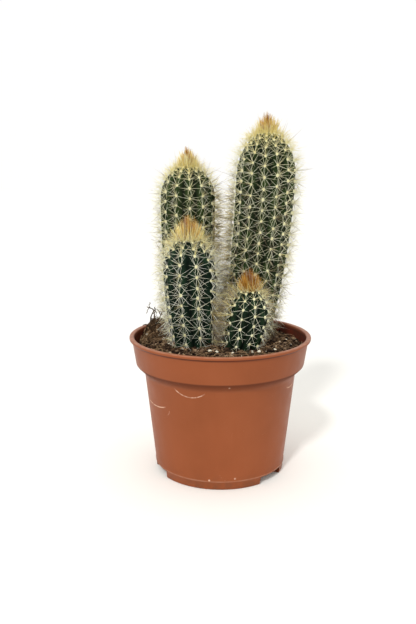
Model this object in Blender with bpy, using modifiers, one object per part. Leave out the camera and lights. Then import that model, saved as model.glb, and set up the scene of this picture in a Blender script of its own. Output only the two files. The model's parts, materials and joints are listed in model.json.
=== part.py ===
"""A clump of four ribbed columnar cactus stems in a round plastic nursery pot.

Metres, +Z up. The origin is the centre of the pot's foot ring, on the surface that the pot stands on.
+X is to the right of the pot's front, and +Y points from the front to the back.
"""

import math
from typing import NamedTuple

import bmesh
import bpy
import numpy as np
from mathutils import Matrix, Vector, noise
from mathutils.bvhtree import BVHTree

OBJECT_NAME = "potted_cactus"

# ---- pot ----
POT_HEIGHT = 0.0910
POT_SEGMENTS = 64
RIM_RADIUS = 0.0600
RIM_ROUND = 0.0006
LIP_HEIGHT = 0.0017
LIP_UNDERCUT = 0.0012
LIP_OVERHANG = 0.0018
BAND_TAPER = 0.0024
BAND_HEIGHT = 0.0183
BAND_ROUND = 0.0012
UNDERSIDE_HEIGHT = 0.0054
UNDERSIDE_REACH = 0.0055
FOOT_RADIUS = 0.0428
FOOT_CHAMFER = 0.0008
FOOT_WIDTH = 0.0022
WALL = 0.0012
FLOOR_LIFT = 0.0030
FLOOR_THICKNESS = 0.0014

FOOT_GAP_COUNT = 3
FOOT_GAP_FIRST = math.radians(-158)
FOOT_GAP_WIDTH = 0.0220
FOOT_GAP_HEIGHT = 0.0050
FOOT_GAP_REACH = 0.0030
DRAIN_COUNT = 6
DRAIN_RADIUS = 0.0035
DRAIN_CIRCLE = 0.0260

BAND_TOP_RADIUS = RIM_RADIUS - LIP_OVERHANG
BAND_LOW_RADIUS = BAND_TOP_RADIUS - BAND_TAPER
BODY_TOP_RADIUS = BAND_LOW_RADIUS - UNDERSIDE_REACH

# ---- soil ----
SOIL_DROP = 0.0075
SOIL_RINGS = 10
SOIL_GAP = 0.0004
SOIL_MOUND_HEIGHT = 0.0040
SOIL_MOUND_SPREAD = 0.0340
SOIL_LUMP_HEIGHT = 0.0007
SOIL_LUMP_SIZE = 0.0080
SOIL_PILE_BEARING = math.radians(150)
SOIL_PILE_INSET = 0.0085
SOIL_PILE_HEIGHT = 0.0105
SOIL_PILE_SPREAD = 0.0095
SOIL_DIP_BEARING = math.radians(178)
SOIL_DIP_INSET = 0.0007
SOIL_DIP_DEPTH = 0.0035
SOIL_DIP_SPREAD = 0.0090

# ---- stems ----
STEM_DEPTH = 0.0140
STEM_GAP = 0.0005
LEAN_POWER = 2.0
RIB_SAMPLES = 4
RIB_FADE = 0.0060
COLUMN_STEP = 0.0150
DOME_RINGS = 4
DOME_POWER = 2.3

# ---- loose pieces ----
REST_GAP = 0.0003
GRAIN_ROUGHNESS = 0.22
ROOTLET_RADIUS = 0.0004
ROOTLET_POINTS = 12


class Stem(NamedTuple):
    """One column. foot and head are its axis at the soil and at the top, height is from the one to the other,
    and girth is its radius over the ribs.
    """

    ribs: int
    rib_depth: float
    foot: tuple
    head: tuple
    height: float
    foot_girth: float
    girth: float
    dome: float
    tuft_girth: float
    tuft_height: float
    tint: tuple


STEMS = {
    "stem_tall": Stem(
        ribs=15,
        rib_depth=0.0024,
        foot=(0.0172, 0.0190),
        head=(0.0305, 0.0215),
        height=0.1380,
        foot_girth=0.0165,
        girth=0.0196,
        dome=0.0300,
        tuft_girth=0.0080,
        tuft_height=0.0120,
        tint=(0.060, 0.125, 0.060),
    ),
    "stem_back_left": Stem(
        ribs=13,
        rib_depth=0.0024,
        foot=(-0.0210, 0.0290),
        head=(-0.0225, 0.0300),
        height=0.1165,
        foot_girth=0.0155,
        girth=0.0184,
        dome=0.0230,
        tuft_girth=0.0075,
        tuft_height=0.0115,
        tint=(0.070, 0.135, 0.060),
    ),
    "stem_front_left": Stem(
        ribs=10,
        rib_depth=0.0026,
        foot=(-0.0165, -0.0055),
        head=(-0.0203, -0.0055),
        height=0.0705,
        foot_girth=0.0142,
        girth=0.0166,
        dome=0.0230,
        tuft_girth=0.0090,
        tuft_height=0.0140,
        tint=(0.045, 0.105, 0.065),
    ),
    "stem_small": Stem(
        ribs=10,
        rib_depth=0.0020,
        foot=(0.0125, -0.0155),
        head=(0.0185, -0.0150),
        height=0.0395,
        foot_girth=0.0110,
        girth=0.0127,
        dome=0.0200,
        tuft_girth=0.0070,
        tuft_height=0.0125,
        tint=(0.050, 0.120, 0.055),
    ),
}

# Each loose grain: its place on the soil, and its length.
GRAINS = (
    (-0.0380, 0.0060, 0.0028),
    (-0.0505, 0.0150, 0.0026),
    (-0.0335, -0.0080, 0.0022),
    (-0.0240, -0.0235, 0.0024),
    (-0.0110, -0.0235, 0.0032),
    (-0.0065, -0.0275, 0.0026),
    (-0.0020, -0.0300, 0.0030),
    (0.0080, -0.0310, 0.0022),
    (0.0200, -0.0280, 0.0026),
    (0.0245, -0.0270, 0.0030),
    (0.0300, -0.0245, 0.0028),
    (0.0350, -0.0210, 0.0032),
    (0.0445, 0.0075, 0.0022),
    (0.0020, 0.0420, 0.0028),
)


class Rootlet(NamedTuple):
    """A dried thread that rises off the soil: its foot from the pile's middle, its heading in degrees, and sizes."""

    foot: tuple
    heading: float
    reach: float
    rise: float
    curl: float
    turns: float


ROOTLETS = (
    Rootlet(foot=(-0.0030, -0.0066), heading=150, reach=0.0080, rise=0.0150, curl=0.0016, turns=1.5),
    Rootlet(foot=(-0.0068, -0.0020), heading=60, reach=0.0050, rise=0.0130, curl=0.0014, turns=1.2),
    Rootlet(foot=(-0.0050, -0.0110), heading=200, reach=0.0070, rise=0.0080, curl=0.0012, turns=1.0),
    Rootlet(foot=(-0.0010, -0.0060), heading=100, reach=0.0040, rise=0.0110, curl=0.0013, turns=1.7),
)


# ---- helpers ----


def clear_scene():
    for obj in list(bpy.data.objects):
        bpy.data.objects.remove(obj, do_unlink=True)


def new_collection(name):
    collection = bpy.data.collections.new(name)
    bpy.context.scene.collection.children.link(collection)
    return collection


def new_material(name, colour, roughness, metallic=0.0):
    material = bpy.data.materials.new(name)
    material.use_nodes = True
    shader = material.node_tree.nodes["Principled BSDF"]
    shader.inputs["Base Color"].default_value = (*colour, 1.0)
    shader.inputs["Roughness"].default_value = roughness
    shader.inputs["Metallic"].default_value = metallic
    return material


def add_object(name, data, collection, material=None):
    obj = bpy.data.objects.new(name, data)
    collection.objects.link(obj)
    if material:
        data.materials.append(material)
    return obj


def as_cutter(obj):
    obj.hide_render = True
    obj.display_type = "WIRE"
    return obj


def mesh_from(builder, name):
    mesh = bpy.data.meshes.new(name)
    builder.to_mesh(mesh)
    builder.free()
    return mesh


def smooth(mesh, sharp_over=math.radians(40)):
    mesh.shade_smooth()
    mesh.set_sharp_from_angle(angle=sharp_over)
    return mesh


def cut_by(obj, cutters):
    modifier = obj.modifiers.new("cuts", "BOOLEAN")
    modifier.operation = "DIFFERENCE"
    modifier.operand_type = "COLLECTION"
    modifier.collection = cutters


def turned_mesh(name, outline):
    """The mesh that a half section makes when it is turned once round the Z axis."""
    section = bpy.data.meshes.new(name + "_section")
    points = [(radius, 0.0, height) for radius, height in outline]
    section.from_pydata(points, [(i, i + 1) for i in range(len(points) - 1)], [])
    holder = bpy.data.objects.new(name + "_section", section)
    bpy.context.scene.collection.objects.link(holder)
    screw = holder.modifiers.new("turn", "SCREW")
    screw.axis = "Z"
    screw.angle = math.tau
    screw.steps = POT_SEGMENTS
    screw.render_steps = POT_SEGMENTS
    screw.use_merge_vertices = True
    screw.merge_threshold = 0.0001
    graph = bpy.context.evaluated_depsgraph_get()
    mesh = bpy.data.meshes.new_from_object(holder.evaluated_get(graph))
    mesh.name = name
    bpy.data.objects.remove(holder, do_unlink=True)
    return smooth(mesh)


# ---- pot ----


def pot_outside():
    """The outer side of the half section, from the lip down to the foot."""
    band_low = POT_HEIGHT - BAND_HEIGHT
    underside_low = band_low - UNDERSIDE_HEIGHT
    return [
        (RIM_RADIUS - RIM_ROUND, POT_HEIGHT),
        (RIM_RADIUS, POT_HEIGHT - RIM_ROUND),
        (RIM_RADIUS, POT_HEIGHT - LIP_HEIGHT),
        (BAND_TOP_RADIUS, POT_HEIGHT - LIP_HEIGHT - LIP_UNDERCUT),
        (BAND_LOW_RADIUS, band_low + BAND_ROUND),
        (BAND_LOW_RADIUS - BAND_ROUND / 2, band_low),
        (BODY_TOP_RADIUS, underside_low),
        (FOOT_RADIUS + FOOT_CHAMFER / 4, FOOT_CHAMFER),
        (FOOT_RADIUS - FOOT_CHAMFER, 0.0),
    ]


def pot_inside():
    """The inner side of the half section, from the floor up to the lip."""
    floor_top = FLOOR_LIFT + FLOOR_THICKNESS
    band_low = POT_HEIGHT - BAND_HEIGHT
    underside_low = band_low - UNDERSIDE_HEIGHT
    slope = (BODY_TOP_RADIUS - FOOT_RADIUS) / underside_low
    return [
        (FOOT_RADIUS + slope * floor_top - WALL, floor_top),
        (BODY_TOP_RADIUS - WALL, underside_low + WALL),
        (BAND_LOW_RADIUS - BAND_ROUND / 2 - WALL, band_low + WALL),
        (BAND_TOP_RADIUS - WALL, POT_HEIGHT - RIM_ROUND),
        (BAND_TOP_RADIUS - WALL + RIM_ROUND, POT_HEIGHT),
    ]


def pot_inner_radius(height):
    radii, heights = zip(*pot_inside())
    return float(np.interp(height, heights, radii))


def build_pot(parts, cutters):
    foot_inside = FOOT_RADIUS - FOOT_CHAMFER - FOOT_WIDTH
    outline = [
        (0.0, FLOOR_LIFT + FLOOR_THICKNESS),
        *pot_inside(),
        *pot_outside(),
        (foot_inside, 0.0),
        (foot_inside, FLOOR_LIFT),
        (0.0, FLOOR_LIFT),
    ]
    material = new_material("pot_plastic", (0.36, 0.105, 0.045), 0.45)
    pot = add_object("pot", turned_mesh("pot", outline), parts, material)
    add_foot_gaps(cutters)
    add_drains(cutters)
    cut_by(pot, cutters)
    return pot


def add_foot_gaps(cutters):
    """Wide gaps in the foot ring, which also open the outer edge of the floor."""
    inner = FOOT_RADIUS - WALL - FOOT_GAP_REACH
    outer = RIM_RADIUS
    for index in range(FOOT_GAP_COUNT):
        turn = FOOT_GAP_FIRST + index * math.tau / FOOT_GAP_COUNT
        builder = bmesh.new()
        bmesh.ops.create_cube(builder, size=1.0)
        size = Matrix.Diagonal((outer - inner, FOOT_GAP_WIDTH, 2 * FOOT_GAP_HEIGHT, 1.0))
        place = Matrix.Translation(((inner + outer) / 2, 0.0, 0.0))
        builder.transform(Matrix.Rotation(turn, 4, "Z") @ place @ size)
        name = f"foot_gap_{index + 1}"
        as_cutter(add_object(name, mesh_from(builder, name), cutters))


def add_drains(cutters):
    """Round holes through the floor: one in the middle, and the rest on a circle."""
    places = [Vector((0.0, 0.0, 0.0))]
    for index in range(DRAIN_COUNT):
        turn = FOOT_GAP_FIRST + index * math.tau / DRAIN_COUNT
        places.append(Vector((DRAIN_CIRCLE * math.cos(turn), DRAIN_CIRCLE * math.sin(turn), 0.0)))
    for index, place in enumerate(places):
        builder = bmesh.new()
        bmesh.ops.create_cone(
            builder,
            cap_ends=True,
            segments=16,
            radius1=DRAIN_RADIUS,
            radius2=DRAIN_RADIUS,
            depth=4 * (FLOOR_LIFT + FLOOR_THICKNESS),
            matrix=Matrix.Translation(place),
        )
        name = f"drain_{index + 1}"
        as_cutter(add_object(name, mesh_from(builder, name), cutters))


# ---- stems ----


def soil_level():
    return POT_HEIGHT - SOIL_DROP


def stem_top(stem):
    return soil_level() + stem.height


def stem_axis(stem, height):
    """The centre of the column at a height: it leaves the soil leaning, and straightens towards its top."""
    rise = (height - soil_level()) / stem.height
    share = 1.0 - (1.0 - min(max(rise, 0.0), 1.0)) ** LEAN_POWER
    foot = Vector((*stem.foot, height))
    head = Vector((*stem.head, height))
    return foot.lerp(head, share)


def stem_girth(stem, height):
    """The radius over the ribs of the column and its domed top."""
    shoulder = stem_top(stem) - stem.dome
    rise = (height - soil_level()) / (shoulder - soil_level())
    swell = min(max(rise, 0.0), 1.0)
    girth = stem.foot_girth + (stem.girth - stem.foot_girth) * math.sin(swell * math.pi / 2)
    into_dome = (height - shoulder) / stem.dome
    if into_dome > 0:
        girth *= math.sqrt(max(0.0, 1.0 - min(into_dome, 1.0) ** DOME_POWER))
    return girth


def stem_rings(stem):
    """(height, radius, rib share) of each ring, from the buried tip to the end of the crown tuft."""
    level = soil_level()
    rings = [
        (level - STEM_DEPTH, 0.0, 0.0),
        (level - STEM_DEPTH, stem.foot_girth * 0.45, 0.0),
        (level - STEM_DEPTH * 0.65, stem.foot_girth * 0.85, 0.0),
        (level - RIB_FADE, stem.foot_girth, 0.3),
    ]
    shoulder = stem_top(stem) - stem.dome
    steps = max(2, round((shoulder - level) / COLUMN_STEP))
    for index in range(steps + 1):
        height = level + (shoulder - level) * index / steps
        rings.append((height, stem_girth(stem, height), 1.0))
    for index in range(1, DOME_RINGS + 1):
        height = shoulder + stem.dome * math.sin(index / (DOME_RINGS + 1) * math.pi / 2)
        girth = max(stem_girth(stem, height), stem.tuft_girth)
        rings.append((height, girth, 1.0 - index / (DOME_RINGS + 1)))
    rings += [
        (stem_top(stem) - stem.tuft_height * 0.05, stem.tuft_girth, 0.0),
        (stem_top(stem) + stem.tuft_height * 0.55, stem.tuft_girth * 0.62, 0.0),
        (stem_top(stem) + stem.tuft_height * 0.95, stem.tuft_girth * 0.18, 0.0),
        (stem_top(stem) + stem.tuft_height, 0.0, 0.0),
    ]
    return rings


def stem_mesh(name, stem, grow=0.0):
    """A ribbed, leaning column. grow is the clearance that its socket in the soil adds all round."""
    rings = stem_rings(stem)
    builder = bmesh.new()
    bmesh.ops.create_uvsphere(
        builder,
        u_segments=stem.ribs * RIB_SAMPLES,
        v_segments=len(rings) - 1,
        radius=1.0,
    )
    for vert in builder.verts:
        latitude = math.asin(min(max(vert.co.z, -1.0), 1.0))
        ring = round((latitude / math.pi + 0.5) * (len(rings) - 1))
        height, radius, rib_share = rings[ring]
        turn = math.atan2(vert.co.y, vert.co.x)
        groove = stem.rib_depth * rib_share * (1.0 - abs(math.cos(stem.ribs * turn / 2)))
        if ring == 0:
            height -= grow
            radius = -grow
        if ring == 1:
            height -= grow / 2
        if ring == len(rings) - 1:
            radius = -grow
        reach = radius + grow - groove
        vert.co = stem_axis(stem, height) + Vector((reach * math.cos(turn), reach * math.sin(turn), 0.0))
    # A stem and its socket split their quads the same way, so that the gap between them stays even.
    bmesh.ops.triangulate(builder, faces=builder.faces[:], quad_method="FIXED")
    return smooth(mesh_from(builder, name))


def build_stems(parts, cutters):
    for name, stem in STEMS.items():
        material = new_material(name + "_skin", stem.tint, 0.55)
        add_object(name, stem_mesh(name, stem), parts, material)
        socket = name + "_socket"
        as_cutter(add_object(socket, stem_mesh(socket, stem, STEM_GAP), cutters))


# ---- soil ----


def by_wall(bearing, inset):
    """A place on the soil at a bearing from the pot's axis, this far in from the pot's wall."""
    reach = pot_inner_radius(soil_level()) - inset
    return Vector((reach * math.cos(bearing), reach * math.sin(bearing)))


def hump(x, y, place, spread):
    return math.exp(-((x - place[0]) ** 2 + (y - place[1]) ** 2) / spread**2)


def soil_height(x, y):
    """The soil's surface: a mound round the stems, a pile at the back left, a dip at the left wall, and lumps."""
    mound = SOIL_MOUND_HEIGHT * hump(x, y, (0.0, 0.0), SOIL_MOUND_SPREAD)
    pile_place = by_wall(SOIL_PILE_BEARING, SOIL_PILE_INSET)
    pile = SOIL_PILE_HEIGHT * hump(x, y, pile_place, SOIL_PILE_SPREAD)
    dip = SOIL_DIP_DEPTH * hump(x, y, by_wall(SOIL_DIP_BEARING, SOIL_DIP_INSET), SOIL_DIP_SPREAD)
    lump = SOIL_LUMP_HEIGHT * noise.noise(Vector((x, y, 0.0)) / SOIL_LUMP_SIZE)
    return soil_level() + mound + pile - dip + lump


def soil_outline():
    """The half section of the soil with a level top, inside the pot with a gap all round."""
    level = soil_level()
    edge = pot_inner_radius(level) - SOIL_GAP
    top = [(edge * index / SOIL_RINGS, level) for index in range(SOIL_RINGS + 1)]
    side = [
        (radius - SOIL_GAP, height)
        for radius, height in reversed(pot_inside())
        if height < level - SOIL_DIP_DEPTH
    ]
    floor_radius, floor_height = side[-1]
    side[-1] = (floor_radius, floor_height + SOIL_GAP)
    return [*top, *side, (0.0, floor_height + SOIL_GAP)]


def build_soil(parts, cutters):
    mesh = turned_mesh("soil", soil_outline())
    level = soil_level()
    edge = pot_inner_radius(level) - SOIL_GAP
    for vert in mesh.vertices:
        if vert.co.z < level - SOIL_GAP / 2:
            continue
        radius = math.hypot(vert.co.x, vert.co.y)
        height = soil_height(vert.co.x, vert.co.y)
        if radius > edge - SOIL_GAP / 2:
            at_wall = (pot_inner_radius(height) - SOIL_GAP) / radius
            vert.co.x *= at_wall
            vert.co.y *= at_wall
        vert.co.z = height
    material = new_material("potting_mix", (0.045, 0.026, 0.014), 0.95)
    soil = add_object("soil", mesh, parts, material)
    cut_by(soil, cutters)
    return soil


# ---- loose pieces ----


def surface_of(obj):
    bpy.context.view_layer.update()
    return BVHTree.FromObject(obj, bpy.context.evaluated_depsgraph_get())


def height_on(surface, x, y):
    """The height of the surface under a point, or None beyond its edge."""
    hit = surface.ray_cast(Vector((x, y, 1.0)), Vector((0.0, 0.0, -1.0)))[0]
    return hit.z if hit else None


def lift_to_rest(points, surface):
    """How far the points go up to lie on the surface, with the resting gap."""
    found = [(height_on(surface, point.x, point.y), point.z) for point in points]
    return max(height - z for height, z in found if height is not None) + REST_GAP


def build_grains(parts, surface):
    material = new_material("perlite", (0.80, 0.76, 0.66), 0.85)
    for index, (x, y, length) in enumerate(GRAINS):
        builder = bmesh.new()
        bmesh.ops.create_icosphere(builder, subdivisions=2, radius=0.5)
        seed = Vector((index * 3.1, index * 1.7, 0.0))
        for vert in builder.verts:
            vert.co *= 1.0 + GRAIN_ROUGHNESS * noise.noise(vert.co * 3.0 + seed)
        turn = Matrix.Rotation(index * 1.3, 4, "Z")
        size = Matrix.Diagonal((length, 0.8 * length, 0.7 * length, 1.0))
        builder.transform(Matrix.Translation((x, y, 0.0)) @ turn @ size)
        lift = lift_to_rest([vert.co for vert in builder.verts], surface)
        builder.transform(Matrix.Translation((0.0, 0.0, lift)))
        name = f"perlite_{index + 1:02d}"
        add_object(name, smooth(mesh_from(builder, name)), parts, material)


def rootlet_path(rootlet):
    """Points of a thread that climbs steeply from its foot, bends over and sways from side to side."""
    heading = math.radians(rootlet.heading)
    along = Vector((math.cos(heading), math.sin(heading), 0.0))
    across = Vector((-along.y, along.x, 0.0))
    foot = (by_wall(SOIL_PILE_BEARING, SOIL_PILE_INSET) + Vector(rootlet.foot)).to_3d()
    points = []
    for index in range(ROOTLET_POINTS):
        share = index / (ROOTLET_POINTS - 1)
        sway = rootlet.curl * math.sin(math.tau * rootlet.turns * share)
        climb = rootlet.rise * math.sin(share * math.pi * 0.62)
        ground = foot + along * rootlet.reach * share**1.4
        points.append(ground + across * sway + Vector((0.0, 0.0, climb)))
    return points


def build_rootlets(parts, surface):
    material = new_material("dry_rootlet", (0.16, 0.085, 0.035), 0.8)
    for index, rootlet in enumerate(ROOTLETS):
        points = rootlet_path(rootlet)
        beneath = [point - Vector((0.0, 0.0, ROOTLET_RADIUS)) for point in points]
        lift = lift_to_rest(beneath, surface) + REST_GAP
        name = f"rootlet_{index + 1}"
        curve = bpy.data.curves.new(name, "CURVE")
        curve.dimensions = "3D"
        curve.bevel_depth = ROOTLET_RADIUS
        curve.bevel_resolution = 1
        curve.use_fill_caps = True
        spline = curve.splines.new("POLY")
        spline.points.add(len(points) - 1)
        for slot, point in zip(spline.points, points):
            slot.co = (point.x, point.y, point.z + lift, 1.0)
        add_object(name, curve, parts, material)


def main():
    clear_scene()
    parts = new_collection(OBJECT_NAME)
    pot_cutters = new_collection("pot_cutters")
    soil_cutters = new_collection("soil_cutters")
    build_pot(parts, pot_cutters)
    build_stems(parts, soil_cutters)
    soil = build_soil(parts, soil_cutters)
    surface = surface_of(soil)
    build_grains(parts, surface)
    build_rootlets(parts, surface)


main()
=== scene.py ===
"""The looks of a potted clump of columnar cacti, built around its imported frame.

Metres, +Z up, in the frame's own coordinates. Every place comes from the frame's nodes: each stem's axis and
girth are read from the rings of its solid, the soil's surface from its solid, and the pot's walls from the pot.
"""

import json
import math

import bmesh
import bpy
import numpy as np
from mathutils import Matrix, Vector, noise
from mathutils.bvhtree import BVHTree

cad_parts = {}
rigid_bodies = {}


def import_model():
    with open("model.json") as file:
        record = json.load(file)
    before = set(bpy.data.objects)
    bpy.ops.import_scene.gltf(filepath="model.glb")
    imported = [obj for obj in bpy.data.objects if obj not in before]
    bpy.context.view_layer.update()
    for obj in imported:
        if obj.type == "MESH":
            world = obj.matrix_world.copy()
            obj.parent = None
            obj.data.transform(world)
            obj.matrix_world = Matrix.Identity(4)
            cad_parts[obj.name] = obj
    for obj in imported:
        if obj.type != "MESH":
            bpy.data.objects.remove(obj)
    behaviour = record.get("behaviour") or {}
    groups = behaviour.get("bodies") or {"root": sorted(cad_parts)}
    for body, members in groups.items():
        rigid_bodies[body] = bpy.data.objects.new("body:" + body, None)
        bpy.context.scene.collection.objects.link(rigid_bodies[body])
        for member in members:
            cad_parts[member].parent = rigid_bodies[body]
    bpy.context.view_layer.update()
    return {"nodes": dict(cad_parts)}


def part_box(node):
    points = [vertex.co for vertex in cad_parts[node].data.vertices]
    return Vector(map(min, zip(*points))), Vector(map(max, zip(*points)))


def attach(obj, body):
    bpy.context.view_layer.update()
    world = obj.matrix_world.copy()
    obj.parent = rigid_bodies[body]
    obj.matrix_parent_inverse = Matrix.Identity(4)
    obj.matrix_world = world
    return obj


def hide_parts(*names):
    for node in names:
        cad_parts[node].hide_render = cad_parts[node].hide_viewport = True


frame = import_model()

BODY = "root"

# ---- camera ----
CAMERA_PLACE = (0.0, -0.4487, 0.1989)
CAMERA_PITCH = math.radians(11.71)
CAMERA_YAW = math.radians(1.026)
CAMERA_LENS = 40.0
CAMERA_SENSOR = 36.0
CAMERA_NEAREST = 0.01

# ---- stage ----
STAGE_REACH = 6.0
SKY_COLOUR = (1.0, 0.995, 0.982, 1.0)
SKY_STRENGTH = 1.02
LAMP_POWER = 1.45
LAMP_SPREAD = math.radians(7)
LAMP_BEARING = math.radians(-109)
LAMP_ELEVATION = math.radians(42)

# ---- pot ----
POT_SEGMENTS = 192
LIP_HEIGHT = 0.0017
LIP_UNDERCUT = 0.0012
BAND_HEIGHT = 0.0183
UNDERSIDE_HEIGHT = 0.0054
FOOT_LINE_HEIGHT = 0.0058
FOOT_LINE_PROUD = 0.00032
WALL = 0.0012
FOOT_WIDTH = 0.003
FLOOR_LIFT = 0.003
FLOOR_THICKNESS = 0.0014
FOOT_GAP_COUNT = 3
FOOT_GAP_FIRST = math.radians(-158)
FOOT_GAP_WIDTH = 0.022
FOOT_GAP_HEIGHT = 0.005
FOOT_GAP_REACH = 0.003
DRAIN_COUNT = 6
DRAIN_RADIUS = 0.0035
DRAIN_CIRCLE = 0.026
DRAIN_SEGMENTS = 32
CUT_DEPTH = 0.02
FILLET_STEPS = 5
SHARP_EDGE = math.radians(38)

# Scuffs in the pot's front view. Arcs: the centre across and up, radius, half width, and the span about the centre.
# Dots: the centre across and up, and radius.
ARC_SCUFFS = (
    (-0.018, 0.0762, 0.014, 0.00042, -0.0102, 0.0092),
    (-0.042, 0.0652, 0.0155, 0.0005, -0.0052, 0.0082),
    (-0.036, 0.05, 0.0045, 0.0004, 0.003, 0.005),
    (0.045, 0.065, 0.0036, 0.00055, -0.003, 0.003),
)
DOT_SCUFFS = ((0.0057, 0.0705, 0.00075), (-0.0065, 0.0066, 0.0008), (0.0098, 0.0076, 0.00085))

# ---- soil ----
SOIL_RINGS = 120
SOIL_SEGMENTS = 300
SOIL_DROP = 0.0075
SOCKET_DROP = 0.0145
SOCKET_FILL_ROUNDS = 600
CRUMB_COUNT = 5200
FIBRE_COUNT = 1250
MOSS_COUNT = 380
PERLITE_BIT_COUNT = 70
LARGE_CRUMB = 0.00085
STRAW_SHARE = 0.08
TWIGS_PER_THREAD = 3
THREAD_POINTS = 26
FIBRE_POINTS = 12
MOSS_POINTS = 18
MOSS_REACH = 0.015
CRUMB_SEED, PERLITE_SEED, FIBRE_SEED, THREAD_SEED, MOSS_SEED = 11, 12, 13, 17, 19

# ---- stems ----
COLUMN_STEP = 0.0011
RIB_SAMPLES = 14
RIB_POWER = 1.9
TUBERCLE_HEIGHT = 0.00045
TUBERCLE_REACH = 0.002
DOME_GIRTH = 0.93
FIRST_VISIBLE_RING = 2
TUFT_RINGS = 4
AREOLE_SIZE = (0.00092, 0.0011, 0.00075)
STANDING_SPINES_FEWER = 5
STANDING_SHARE = 0.85
THICKET_SPINES = 48
THICKET_GAP = 0.009
TUFT_SPINES = 420
GREY_SHARE = 0.05
GREY_TINT = 0.03
OLD_TINT = 0.02
FIRST_STEM_SEED = 100
STUNTED_HEIGHT = 0.018
SHADED_HEIGHT = 0.05

# The points of a spine as shares of its length, and its thickness at each for spines on ribs and in the tuft.
SPINE_SHARES = np.array([0.0, 0.38, 0.74, 1.0])
SPINE_TAPER = np.array([1.0, 0.82, 0.5, 0.14])
TUFT_TAPER = np.array([1.0, 0.9, 0.65, 0.2])

# Each stem: its ribs and their depth, the gap between areoles, spines per areole, spine lengths low and high
# on the stem, crown tuft width, its skin's tone from dark blue green (0) to lighter yellow green (1), the share
# of its spines gone brown with age, and how far its tuft's colour moves towards brown.
STEMS = {
    "stem_tall": dict(
        ribs=15, depth=0.0026, gap=0.0069, spines=11, low=0.0105, high=0.009,
        tuft=0.005, tone=0.75, old=0.36, bronze=0.04,
    ),
    "stem_back_left": dict(
        ribs=13, depth=0.0026, gap=0.0066, spines=11, low=0.0105, high=0.0088,
        tuft=0.005, tone=0.85, old=0.36, bronze=-0.04,
    ),
    "stem_front_left": dict(
        ribs=10, depth=0.003, gap=0.0066, spines=11, low=0.0115, high=0.0094,
        tuft=0.0068, tone=0.05, old=0.0, bronze=0.02,
    ),
    "stem_small": dict(
        ribs=10, depth=0.0024, gap=0.0062, spines=7, low=0.0086, high=0.0072,
        tuft=0.0052, tone=0.2, old=0.0, bronze=0.22,
    ),
}


# ---- meshes ----


def new_object(name, verts, faces, material, attributes=None, smooth=True):
    mesh = bpy.data.meshes.new(name)
    mesh.from_pydata(np.asarray(verts).tolist(), [], faces)
    for key, values in (attributes or {}).items():
        layer = mesh.attributes.new(key, "FLOAT", "POINT")
        layer.data.foreach_set("value", np.asarray(values, dtype=np.float32))
    mesh.materials.append(material)
    if smooth:
        mesh.shade_smooth()
    obj = bpy.data.objects.new(name, mesh)
    bpy.context.scene.collection.objects.link(obj)
    return obj


def place(obj, slot, *replaced):
    """Puts a finished piece on the body and hides the CAD nodes that it stands for. The slot is not used."""
    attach(obj, BODY)
    if replaced:
        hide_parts(*replaced)


def unit(vectors):
    return vectors / np.maximum(np.linalg.norm(vectors, axis=-1, keepdims=True), 1e-12)


def held(values):
    return np.clip(values, 0.0, 1.0)


def polar(radius, turn):
    """Points (x, y) at a radius and turn about the axis."""
    return np.stack([radius * np.cos(turn), radius * np.sin(turn)], axis=-1)


def turned_faces(rows, columns):
    """Faces of a grid whose rows run round an axis, closed at its ends by the two vertices that follow the grid.

    Rows go outwards or downwards for faces that point out.
    """
    row, column = np.meshgrid(np.arange(rows - 1), np.arange(columns), indexing="ij")
    after = (column + 1) % columns
    corners = [row * columns + column, (row + 1) * columns + column, (row + 1) * columns + after, row * columns + after]
    faces = np.stack(corners, axis=-1).reshape(-1, 4).tolist()
    first, last, end = rows * columns, rows * columns + 1, (rows - 1) * columns
    for index in range(columns):
        after = (index + 1) % columns
        faces += [[first, index, after], [last, end + after, end + index]]
    return faces


def tubes(paths, radii, sides):
    """Closed tapered tubes along paths of shape (tubes, points, 3), with radii of shape (tubes, points)."""
    count, points = radii.shape
    tangent = unit(np.gradient(paths, axis=1))
    mean = unit(paths[:, -1] - paths[:, 0])
    guide = np.where(np.abs(mean[:, 2:3]) > 0.8, [[1.0, 0.0, 0.0]], [[0.0, 0.0, 1.0]])
    across = unit(np.cross(tangent, guide[:, None, :]))
    along = np.cross(tangent, across)
    turn = np.arange(sides) * math.tau / sides
    ring = np.cos(turn)[:, None] * across[:, :, None, :] + np.sin(turn)[:, None] * along[:, :, None, :]
    verts = (paths[:, :, None, :] + radii[:, :, None, None] * ring).reshape(-1, 3)
    index = np.arange(count * points * sides).reshape(count, points, sides)
    after = np.roll(index, -1, axis=2)
    quads = np.stack([index[:, :-1], after[:, :-1], after[:, 1:], index[:, 1:]], axis=-1).reshape(-1, 4)
    caps = np.concatenate([index[:, 0, ::-1], index[:, -1, :]])
    return verts, quads.tolist() + caps.tolist()


def ball(subdivisions):
    """Vertices and faces of a unit icosphere, as a start for crumbs, grains and pads."""
    builder = bmesh.new()
    bmesh.ops.create_icosphere(builder, subdivisions=subdivisions, radius=1.0)
    verts = np.array([vert.co for vert in builder.verts])
    faces = np.array([[vert.index for vert in face.verts] for face in builder.faces])
    builder.free()
    return verts, faces


def random_turns(rng, count):
    """Rotation matrices spread evenly over all rotations."""
    w, x, y, z = unit(rng.normal(size=(count, 4))).T
    rows = [
        [1 - 2 * (y * y + z * z), 2 * (x * y - z * w), 2 * (x * z + y * w)],
        [2 * (x * y + z * w), 1 - 2 * (x * x + z * z), 2 * (y * z - x * w)],
        [2 * (x * z - y * w), 2 * (y * z + x * w), 1 - 2 * (x * x + y * y)],
    ]
    return np.moveaxis(np.array(rows), 2, 0)


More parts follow.
